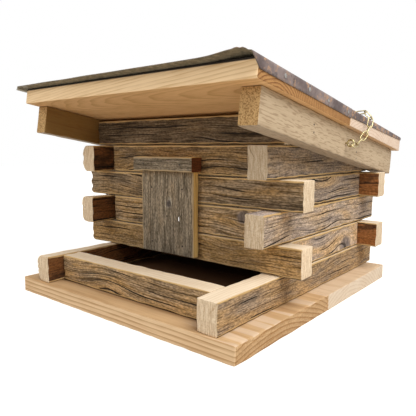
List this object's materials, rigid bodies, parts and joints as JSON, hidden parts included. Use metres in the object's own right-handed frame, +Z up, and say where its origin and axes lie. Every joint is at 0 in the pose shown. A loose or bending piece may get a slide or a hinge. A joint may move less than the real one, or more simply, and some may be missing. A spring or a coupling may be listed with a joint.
{
  "type": "log cabin bird feeder",
  "caption": "Log cabin bird feeder of stacked reclaimed wood strips, with an open seed tray, a hinged shed-roof lid under sheet metal for filling, and a hanging chain.",
  "frame": {"origin": "centre of the underside of the two base boards, on their seam", "axes": "+Z up, -Y to the front where the door and the seed tray are, +X to the right seen from the front"},
  "size_m": [0.3794, 0.3964, 0.2696],
  "materials": {
    "barn_wood": "weathered grey-brown, rough sawn",
    "base_pine": "bare planed pine",
    "roof_pine": "bare planed pine",
    "batten_wood": "bare sawn softwood",
    "door_wood": "weathered grey",
    "old_sheet": "weathered, rust-flecked",
    "brass": "pale brass plate",
    "zinc_steel": "bright zinc"
  },
  "bodies": {
    "cabin": {"tray_front_log": "barn_wood", "back_sill_log": "barn_wood", "front_top_log": "barn_wood", "tray_left_log": "barn_wood", "tray_right_log": "barn_wood", "front_log_1": "barn_wood", "front_log_2": "barn_wood", "front_log_3": "barn_wood", "front_log_4": "barn_wood", "back_log_1": "barn_wood", "back_log_2": "barn_wood", "back_log_3": "barn_wood", "back_log_4": "barn_wood", "left_log_1": "barn_wood", "left_log_2": "barn_wood", "left_log_3": "barn_wood", "left_log_4": "barn_wood", "right_log_1": "barn_wood", "right_log_2": "barn_wood", "right_log_3": "barn_wood", "right_log_4": "barn_wood", "base_front_board": "base_pine", "base_rear_board": "base_pine", "roof_rear_board": "roof_pine", "left_batten": "batten_wood", "left_eye_screw": "brass", "left_hinge_pin": "zinc_steel", "left_hinge_fixed_leaf": "zinc_steel", "right_batten": "batten_wood", "right_eye_screw": "brass", "right_hinge_pin": "zinc_steel", "right_hinge_fixed_leaf": "zinc_steel", "door_board": "door_wood", "door_lintel": "door_wood", "door_staple": "zinc_steel", "rear_roof_sheet": "old_sheet", "hanging_chain": "brass", "log_brads": "zinc_steel", "batten_brads": "zinc_steel", "door_brads": "zinc_steel", "roof_brads": "zinc_steel", "rear_sheet_nails": "zinc_steel", "fixed_hinge_screws": "zinc_steel"},
    "roof_lid": {"roof_lid_board": "roof_pine", "lid_roof_sheet": "old_sheet", "lid_sheet_nails": "zinc_steel", "lid_hinge_screws": "zinc_steel", "left_hinge_lid_leaf": "zinc_steel", "right_hinge_lid_leaf": "zinc_steel"}
  },
  "joints": [
    {"name": "lid_hinge", "type": "hinge", "parent": "cabin", "child": "roof_lid", "pos_m": [0, 0.03097, 0.23617], "axis": [-1, 0, 0], "range_deg": [0, 85]}
  ]
}
